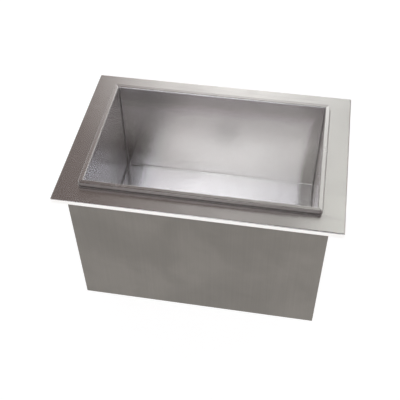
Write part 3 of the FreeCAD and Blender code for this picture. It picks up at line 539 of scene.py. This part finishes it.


# Plated, moulded and foamed finishes share one build: small cells, clouds, worn edges, and painted
# shade with grime in crevices.
def makeCellFinish(name, look):
    tree, shader = newMaterial(name)
    place = addNode(tree, "TexCoord").outputs["Object"]
    cells = useGroup(tree, "foamCells", Vector=place, Size=look["cell"])
    marks = useGroup(tree, "handlingMarks", Vector=place, Size=look["size"])
    edge = useGroup(tree, "wornEdges", Radius=cellWear["edgeRadius"])["Edge"]
    crevice = useGroup(tree, "crevices", Reach=cellWear["reach"])["Crevice"]
    light = tuple(min(1, c * cellWear["lighten"] + cellWear["lift"]) for c in look["colour"])
    dirtAndShade = tuple(c * cellWear["darken"] for c in look["colour"])
    colour = look["colour"]
    # the last pair puts painted shade and grime into crevices
    for mask, part, second in ((cells["Cell"], "cellPart", look["second"]),
                               (marks["Cloud"], "cloudPart", look["second"]),
                               (edge, "edgePart", light), (crevice, "grimeAndShadePart", dirtAndShade)):
        colour = mixColours(tree, times(tree, mask, cellWear[part]), colour, second)
    tree.links.new(colour, shader.inputs["Base Color"])
    rough = ranged(tree, marks["Cloud"], 0, 1, look["rough"] - cellWear["smoother"],
                   look["rough"] + cellWear["rougher"])
    rough = plus(tree, rough, times(tree, marks["Smear"], cellWear["smear"]), clamp=True)
    tree.links.new(rough, shader.inputs["Roughness"])
    depth = look["cell"] * cellWear["cellDepth"]
    bump = addNode(tree, "Bump", {"Strength": look["bump"], "Distance": depth,
                                  "Height": cells["Height"]})
    tree.links.new(bump.outputs[0], shader.inputs["Normal"])
    shader.inputs["Metallic"].default_value = look["metal"]


for finishName, finishLook in cellFinishLooks.items():
    makeCellFinish(finishName, finishLook)

nodeFinish = {
    "deck_flange": "deckSteel", "liner_trough": "troughSteel",
    "liner_end_left": "endSteel", "liner_end_right": "endSteel",
    "shell_wrap": "casingSteel", "shell_back": "casingSteel", "shell_bottom_pan": "panSteel",
    "back_rivets": "rivetAluminium", "pan_rivets": "rivetAluminium",
    "foam_insulation": "insulationFoam", "foam_fill_plugs": "plugPlastic",
    "drain_cup": "drainSteel", "strainer_plate": "drainSteel", "drain_nipple": "pipeSteel",
    "drain_seal": "blackRubber", "drain_washer": "zincPlate", "drain_locknut": "zincPlate",
    "flange_gasket": "gasketFoam",
    "bracket_front_left": "zincPlate", "bracket_rear_left": "zincPlate",
    "bracket_front_right": "zincPlate", "bracket_rear_right": "zincPlate",
    "bracket_screws": "screwPlate", "bracket_washers": "zincPlate", "clinch_nuts": "zincPlate",
}
for nodeName, finishName in nodeFinish.items():
    for materialSlot in nodes[nodeName].material_slots:
        materialSlot.material = materialFor[finishName]
print("materials set on", len(nodeFinish), "nodes")


# Helpers for modelling

near = 0.01 * mm            # how close a picked part lies to the height asked for
upright = 0.9               # how far along Z the normal of a picked face points
mergeDistance = 0.000002
copyTurn = 1.3              # radians from one copy to the next, so that no two look alike


def clearPicks():
    if bpy.context.mode != "OBJECT":
        bpy.ops.object.mode_set(mode="OBJECT")
    bpy.ops.object.select_all(action="DESELECT")


# Picks parts of the mesh being edited: "FACE" tests centre and normal, the others test places.
def pick(kind, test):
    mesh = bpy.context.object.data
    bpy.ops.object.mode_set(mode="OBJECT")
    for parts in (mesh.vertices, mesh.edges, mesh.polygons):
        parts.foreach_set("select", [False] * len(parts))
    if kind == "FACE":
        for face in mesh.polygons:
            face.select = test(face.center, face.normal)
    elif kind == "EDGE":
        for edge in mesh.edges:
            edge.select = all(test(mesh.vertices[index].co) for index in edge.vertices)
    else:
        for vertex in mesh.vertices:
            vertex.select = test(vertex.co)
    modes = tuple(kind == word for word in ("VERT", "EDGE", "FACE"))
    bpy.context.tool_settings.mesh_select_mode = modes
    bpy.ops.object.mode_set(mode="EDIT")


def pushFaces(distance):
    bpy.ops.mesh.extrude_region_move(TRANSFORM_OT_translate={"value": (0, 0, distance * mm)})


def addDisc(sides, radius, foot, top):
    clearPicks()
    bpy.ops.mesh.primitive_cylinder_add(vertices=sides, radius=radius * mm,
                                        depth=(top - foot) * mm,
                                        location=(0, 0, (top + foot) / 2 * mm))
    bpy.ops.object.transform_apply(location=True, rotation=True, scale=True)
    return bpy.context.object


def isTop(height):
    return lambda centre, normal: normal.z > upright and abs(centre.z - height * mm) < near


def isFoot(height):
    return lambda centre, normal: normal.z < -upright and abs(centre.z - height * mm) < near


def atHeight(height):
    return lambda place: abs(place.z - height * mm) < near


def closeModel(angle=35):
    bpy.ops.mesh.select_all(action="SELECT")
    bpy.ops.mesh.remove_doubles(threshold=mergeDistance)
    bpy.ops.mesh.normals_make_consistent(inside=False)
    bpy.ops.object.mode_set(mode="OBJECT")
    bpy.ops.object.shade_smooth_by_angle(angle=math.radians(angle))


def finishPiece(piece, name, finish):
    piece.name = name
    piece.data.name = name
    piece.data.materials.clear()
    piece.data.materials.append(materialFor[finish])
    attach(piece, "bin")


# Copies of a model that stands on z = 0 along +Z: each place is a point and where its head
# points.
def placeCopies(model, name, finish, replaced, places):
    for number, (point, direction) in enumerate(places, start=1):
        copy = bpy.data.objects.new(name, model.data.copy())
        aim = Vector(direction).to_track_quat("Z", "Y").to_matrix().to_4x4()
        spun = Matrix.Rotation(number * copyTurn, 4, "Z")
        copy.data.transform(Matrix.Translation(Vector(point) * mm) @ aim @ spun)
        bpy.context.scene.collection.objects.link(copy)
        finishPiece(copy, f"{name}_{number}", finish)
        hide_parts(replaced)
    bpy.data.objects.remove(model)


# Bracket screws: rounded heads with a hexagon socket.

screwLook = {
    "sides": 36, "headRadius": 5.5, "headHeight": 3.6, "rounding": 1.5, "roundSteps": 5,
    "socketSides": 6, "socket": 2.31, "socketDepth": 2.1,
    "shankRadius": 3.0, "shankLength": 12.2, "tip": 0.5,
    "seat": 255.8, "height": -52.5, "rows": (-125, -95, 95, 125),
}


def modelScrew(look):
    screw = addDisc(look["sides"], look["headRadius"], 0, look["headHeight"])
    pick("EDGE", atHeight(look["headHeight"]))
    bpy.ops.mesh.bevel(offset=look["rounding"] * mm, segments=look["roundSteps"], profile=0.5,
                       affect="EDGES")
    pick("FACE", isFoot(0))
    bpy.ops.mesh.inset(thickness=(look["headRadius"] - look["shankRadius"]) * mm)
    pushFaces(-look["shankLength"])
    pick("EDGE", atHeight(-look["shankLength"]))
    bpy.ops.mesh.bevel(offset=look["tip"] * mm, segments=1, affect="EDGES")
    cutter = addDisc(look["socketSides"], look["socket"],
                     look["headHeight"] - look["socketDepth"], look["headHeight"] + 1)
    clearPicks()
    bpy.context.view_layer.objects.active = screw
    screw.select_set(True)
    socket = screw.modifiers.new("socket", "BOOLEAN")
    socket.operation = "DIFFERENCE"
    socket.solver = "EXACT"
    socket.object = cutter
    bpy.ops.object.modifier_apply(modifier="socket")
    bpy.data.objects.remove(cutter)
    bpy.ops.object.mode_set(mode="EDIT")
    closeModel()
    return screw


screwPlaces = [((side * screwLook["seat"], row, screwLook["height"]), (side, 0, 0))
               for side in (-1, 1) for row in screwLook["rows"]]
placeCopies(modelScrew(screwLook), "bracketScrew", "screwPlate",
            "bracket_screws", screwPlaces)
print("bracket screws modelled")


# Blind rivets: a low dome, a bore for the mandrel and its broken end inside.

rivetLook = {
    "sides": 24, "headRadius": 3.1, "headHeight": 1.1, "dome": 0.85, "domeSteps": 4,
    "bore": 1.05, "boreDepth": 0.55, "mandrel": 0.8, "mandrelRise": 0.3,
    "shankRadius": 1.6, "shankLength": 1.8,
    "columnX": 244, "back": 178, "columnHeights": (-279.5, -214.425, -149.35, -84.275, -19.2),
    "panHeight": -300, "panBack": 177.1, "panBackX": (-200.48, -65.156, 65.156, 200.48),
    "side": 251.5, "panSideY": (-149.1, -0.45, 148.2),
}


def modelRivet(look):
    rivet = addDisc(look["sides"], look["headRadius"], 0, look["headHeight"])
    pick("EDGE", atHeight(look["headHeight"]))
    bpy.ops.mesh.bevel(offset=look["dome"] * mm, segments=look["domeSteps"], profile=0.5,
                       affect="EDGES")
    pick("FACE", isTop(look["headHeight"]))
    bpy.ops.mesh.inset(thickness=(look["headRadius"] - look["dome"] - look["bore"]) * mm)
    pushFaces(-look["boreDepth"])
    bpy.ops.mesh.inset(thickness=(look["bore"] - look["mandrel"]) * mm)
    pushFaces(look["mandrelRise"])
    pick("FACE", isFoot(0))
    bpy.ops.mesh.inset(thickness=(look["headRadius"] - look["shankRadius"]) * mm)
    pushFaces(-look["shankLength"])
    closeModel()
    return rivet


columnPlaces = [((side * rivetLook["columnX"], rivetLook["back"], height), (0, 1, 0))
                for height in rivetLook["columnHeights"] for side in (-1, 1)]
panPlaces = [((x, rivetLook["panBack"], rivetLook["panHeight"]), (0, 1, 0))
             for x in rivetLook["panBackX"]]
panPlaces += [((side * rivetLook["side"], y, rivetLook["panHeight"]), (side, 0, 0))
              for y in rivetLook["panSideY"] for side in (-1, 1)]
placeCopies(modelRivet(rivetLook), "backRivet", "rivetAluminium",
            "back_rivets", columnPlaces)
placeCopies(modelRivet(rivetLook), "panRivet", "rivetAluminium",
            "pan_rivets", panPlaces)
print("rivets modelled")


# Plugs of the foam filling holes: a dished head with a nub, and a stem with a lead.

plugLook = {
    "sides": 48, "headRadius": 12.0, "headHeight": 1.2, "rounding": 0.5, "roundSteps": 3,
    "rimWidth": 2.2, "dish": 0.45, "nubRadius": 1.6, "nubRise": 0.25,
    "stemRadius": 9.45, "stemLength": 6.9, "lead": 1.2, "leadSteps": 2,
    "places": ((150.0, 95.0), (-150.0, -95.0)), "foot": -307.5,
}


def modelPlug(look):
    plug = addDisc(look["sides"], look["headRadius"], 0, look["headHeight"])
    pick("EDGE", atHeight(look["headHeight"]))
    bpy.ops.mesh.bevel(offset=look["rounding"] * mm, segments=look["roundSteps"], profile=0.5,
                       affect="EDGES")
    pick("FACE", isTop(look["headHeight"]))
    bpy.ops.mesh.inset(thickness=look["rimWidth"] * mm)
    pushFaces(-look["dish"])
    inner = look["headRadius"] - look["rounding"] - look["rimWidth"]
    bpy.ops.mesh.inset(thickness=(inner - look["nubRadius"]) * mm)
    pushFaces(look["nubRise"])
    pick("FACE", isFoot(0))
    bpy.ops.mesh.inset(thickness=(look["headRadius"] - look["stemRadius"]) * mm)
    pushFaces(-look["stemLength"])
    pick("EDGE", atHeight(-look["stemLength"]))
    bpy.ops.mesh.bevel(offset=look["lead"] * mm, segments=look["leadSteps"], affect="EDGES")
    closeModel()
    return plug


plugPlaces = [((x, y, plugLook["foot"]), (0, 0, -1)) for x, y in plugLook["places"]]
placeCopies(modelPlug(plugLook), "foamPlug", "plugPlastic",
            "foam_fill_plugs", plugPlaces)
print("foam plugs modelled")


# Pipe thread on the free end of the drain nipple: one ridge wound round it.

threadLook = {"radius": 16.34, "rise": 0.35, "halfWidth": 0.95, "pitch": 2.209, "turns": 10,
              "top": -321.4, "steps": 48, "smooth": 30}


def modelThread(look):
    start = (look["radius"] * mm, 0, look["top"] * mm)
    clearPicks()
    bpy.ops.mesh.primitive_circle_add(vertices=4, radius=mm, fill_type="NOTHING",
                                      location=start, rotation=(math.pi / 2, 0, 0))
    ridge = bpy.context.object
    bpy.ops.object.mode_set(mode="EDIT")
    bpy.ops.transform.resize(value=(look["rise"], 1, look["halfWidth"]), center_override=start)
    bpy.ops.object.mode_set(mode="OBJECT")
    bpy.ops.object.transform_apply(location=True, rotation=True, scale=True)
    winding = ridge.modifiers.new("winding", "SCREW")
    winding.axis = "Z"
    winding.screw_offset = -look["pitch"] * mm
    winding.iterations = look["turns"]
    winding.steps = winding.render_steps = look["steps"]
    bpy.ops.object.modifier_apply(modifier="winding")
    bpy.ops.object.mode_set(mode="EDIT")
    bpy.ops.mesh.select_all(action="SELECT")
    bpy.ops.mesh.fill_holes(sides=4)
    closeModel(look["smooth"])
    finishPiece(ridge, "drainThread", "pipeSteel")


modelThread(threadLook)
print("drain thread modelled")


# Welds inside the liner: a hollow fillet down each corner, round the coves and along the floor.

weldLook = {
    "leg": 1.5, "bury": 0.12, "wallX": 225.0, "wallY": 141.0, "floor": -218.6, "cove": 5.0,
    "top": 18.4, "fade": 1.6, "fadeTo": 0.1, "hollow": 0.14, "hollowPart": 0.92,
    "hollowSteps": 4, "steps": 6, "smooth": 40, "endNear": 0.05,
}


def modelWeld(look, side, name):
    clearPicks()
    size = look["leg"] + look["bury"]
    middleX = side * (look["wallX"] + look["bury"] - size / 2)
    middleY = look["wallY"] + look["bury"] - size / 2
    bpy.ops.mesh.primitive_plane_add(size=size * mm,
                                     location=(middleX * mm, -middleY * mm, look["top"] * mm))
    bpy.ops.object.transform_apply(location=True, rotation=True, scale=True)
    pick("VERT", lambda place: abs(place.x) < abs(middleX) * mm and place.y > -middleY * mm)
    bpy.ops.mesh.bevel(offset=look["leg"] * look["hollowPart"] * mm,
                       segments=look["hollowSteps"], profile=look["hollow"], affect="VERTICES")
    bpy.ops.mesh.select_all(action="SELECT")
    pushFaces(look["floor"] + look["cove"] - look["top"])
    turnY = look["wallY"] - look["cove"]
    turnZ = look["floor"] + look["cove"]
    for way in (-1, 1):
        bpy.ops.mesh.spin(steps=look["steps"], angle=-math.pi / 2,
                          center=(0, way * turnY * mm, turnZ * mm), axis=(1, 0, 0))
        move = (0, 2 * turnY * mm, 0) if way < 0 else (0, 0, (look["top"] - turnZ) * mm)
        bpy.ops.mesh.extrude_region_move(TRANSFORM_OT_translate={"value": move})
    closeModel(look["smooth"])
    endNear = look["endNear"] * mm
    for way in (-1, 1):
        pick("FACE", lambda centre, normal: abs(centre.z - look["top"] * mm) < endNear
             and abs(normal.z) > upright and centre.y * way > 0)
        pushFaces(look["fade"])
        corner = (side * look["wallX"] * mm, way * look["wallY"] * mm, 0)
        bpy.ops.transform.resize(value=(look["fadeTo"], look["fadeTo"], 1),
                                 center_override=corner)
    closeModel(look["smooth"])
    finishPiece(bpy.context.object, name, "weldSteel")


modelWeld(weldLook, -1, "linerWeldLeft")
modelWeld(weldLook, 1, "linerWeldRight")
print("liner welds modelled")


# The floor is white to the eye and to metal, and only lit as a pale floor would be. It keeps
# the bin's shadow.

floorLook = {"half": 5.0, "glow": 0.9, "albedo": 0.3, "plain": 0.8, "rough": 0.9}


def makeFloor(look):
    bpy.ops.object.select_all(action="DESELECT")
    bpy.ops.mesh.primitive_plane_add(size=2 * look["half"], location=(0, 0, lowest))
    floor = bpy.context.object
    bpy.ops.object.transform_apply(location=True, rotation=True, scale=True)
    floor.name = "studioFloor"
    tree, shader = newMaterial("studioWhite")
    shader.inputs["Roughness"].default_value = look["rough"]
    shader.inputs["Specular IOR Level"].default_value = 0
    path = addNode(tree, "LightPath").outputs
    seen = maths(tree, "MAXIMUM", path["Is Camera Ray"], path["Is Glossy Ray"])
    seen = maths(tree, "MAXIMUM", seen, path["Is Transmission Ray"])
    level = mixValues(tree, seen, look["plain"], look["albedo"])
    tree.links.new(grey(tree, level), shader.inputs["Base Color"])
    shader.inputs["Emission Strength"].default_value = 1
    tree.links.new(grey(tree, times(tree, seen, look["glow"])), shader.inputs["Emission Color"])
    floor.data.materials.append(materialFor["studioWhite"])


# The studio: a white cove low down, dim walls whose colour changes from -X to +X, and soft
# panels of light seen by the metal. A panel is aimed by degrees round from behind the bin
# (90 is its right) and up from the horizon, is even inside its first angle and gone beyond
# its second.
studioLook = {
    "wall": [(-1.0, (0.58, 0.61, 0.62)), (-0.3, (0.185, 0.145, 0.135)),
             (0.3, (0.06, 0.054, 0.053)), (1.0, (0.39, 0.34, 0.36))],
    "coveHeight": 0.1, "coveFade": 0.2,
    "panels": [
        {"round": 190, "up": 59, "inner": 5, "outer": 7, "colour": (3.5, 3.7, 3.7)},
        {"round": -5, "up": 32, "inner": 6.1, "outer": 14.5, "colour": (1.62, 1.66, 1.64)},
        {"round": 169, "up": 40, "inner": 3.2, "outer": 7.1, "colour": (4.29, 4.51, 5.0)},
        {"round": 81, "up": 17, "inner": 27.7, "outer": 34.2, "colour": (0.6, 0.59, 0.6)},
        {"round": 150, "up": 10, "inner": 6, "outer": 24, "colour": (0.6, 0.59, 0.58)},
        {"round": 10, "up": 51, "inner": 2.4, "outer": 6.2, "colour": (1.95, 2.02, 1.92)},
        {"round": -4, "up": 44.5, "inner": 1, "outer": 4.5, "colour": (0.35, 0.35, 0.34)},
        {"round": 315, "up": 50, "inner": 3.7, "outer": 6.7, "colour": (0.5, 0.5, 0.5)},
        {"round": 38, "up": 32, "inner": 8, "outer": 16, "colour": (0.26, 0.26, 0.25)},
        {"round": -12, "up": 10, "inner": 8, "outer": 15, "colour": (1.5, 1.45, 1.45)},
        {"round": 190, "up": 34, "inner": 4.1, "outer": 10.4, "colour": (2.6, 2.65, 2.9)},
    ],
}


def makeStudio(look):
    world = bpy.data.worlds.new("studio")
    bpy.context.scene.world = world
    world.use_nodes = True
    tree = world.node_tree
    tree.nodes.clear()
    ray = addNode(tree, "TexCoord").outputs["Generated"]
    part = addNode(tree, "SeparateXYZ", {"Vector": ray}).outputs
    stops = [((x + 1) / 2, colour) for x, colour in look["wall"]]
    light = ramp(tree, ranged(tree, part["X"], -1, 1), stops)
    for panel in look["panels"]:
        turn, lift = math.radians(panel["round"]), math.radians(panel["up"])
        aim = (math.sin(turn) * math.cos(lift), math.cos(turn) * math.cos(lift), math.sin(lift))
        gone = math.cos(math.radians(panel["outer"]))
        full = math.cos(math.radians(panel["inner"]))
        shape = ranged(tree, dotProduct(tree, ray, aim), gone, full, soft=True)
        glow = vectors(tree, "SCALE", panel["colour"])
        tree.links.new(shape, glow.node.inputs["Scale"])
        light = vectors(tree, "ADD", light, glow)
    cove = ranged(tree, part["Z"], look["coveFade"], look["coveHeight"], soft=True)
    light = mixColours(tree, cove, light, (1, 1, 1))
    seen = addNode(tree, "LightPath").outputs["Is Camera Ray"]
    light = mixColours(tree, seen, light, (1, 1, 1))
    background = addNode(tree, "Background", {"Color": light, "Strength": 1.0})
    tree.links.new(background.outputs[0], addNode(tree, "OutputWorld").inputs["Surface"])


lampLooks = [
    {"name": "keyLamp", "place": (1.5, 1.3, 2.3), "size": 1.4, "watts": 4,
     "colour": (1, 0.985, 0.96)},
    {"name": "fillLamp", "place": (-1.8, -1.6, 1.6), "size": 1.6, "watts": 2,
     "colour": (0.95, 0.97, 1)},
]


def makeLamp(look):
    lamp = bpy.data.objects.new(look["name"], bpy.data.lights.new(look["name"], "AREA"))
    lamp.data.size = look["size"]
    lamp.data.energy = look["watts"]
    lamp.data.color = look["colour"]
    lamp.location = look["place"]
    lamp.rotation_euler = Vector(look["place"]).to_track_quat("Z", "Y").to_euler()
    bpy.context.scene.collection.objects.link(lamp)


makeFloor(floorLook)
makeStudio(studioLook)
for lampLook in lampLooks:
    makeLamp(lampLook)
print("studio ready")

bpy.context.view_layer.update()
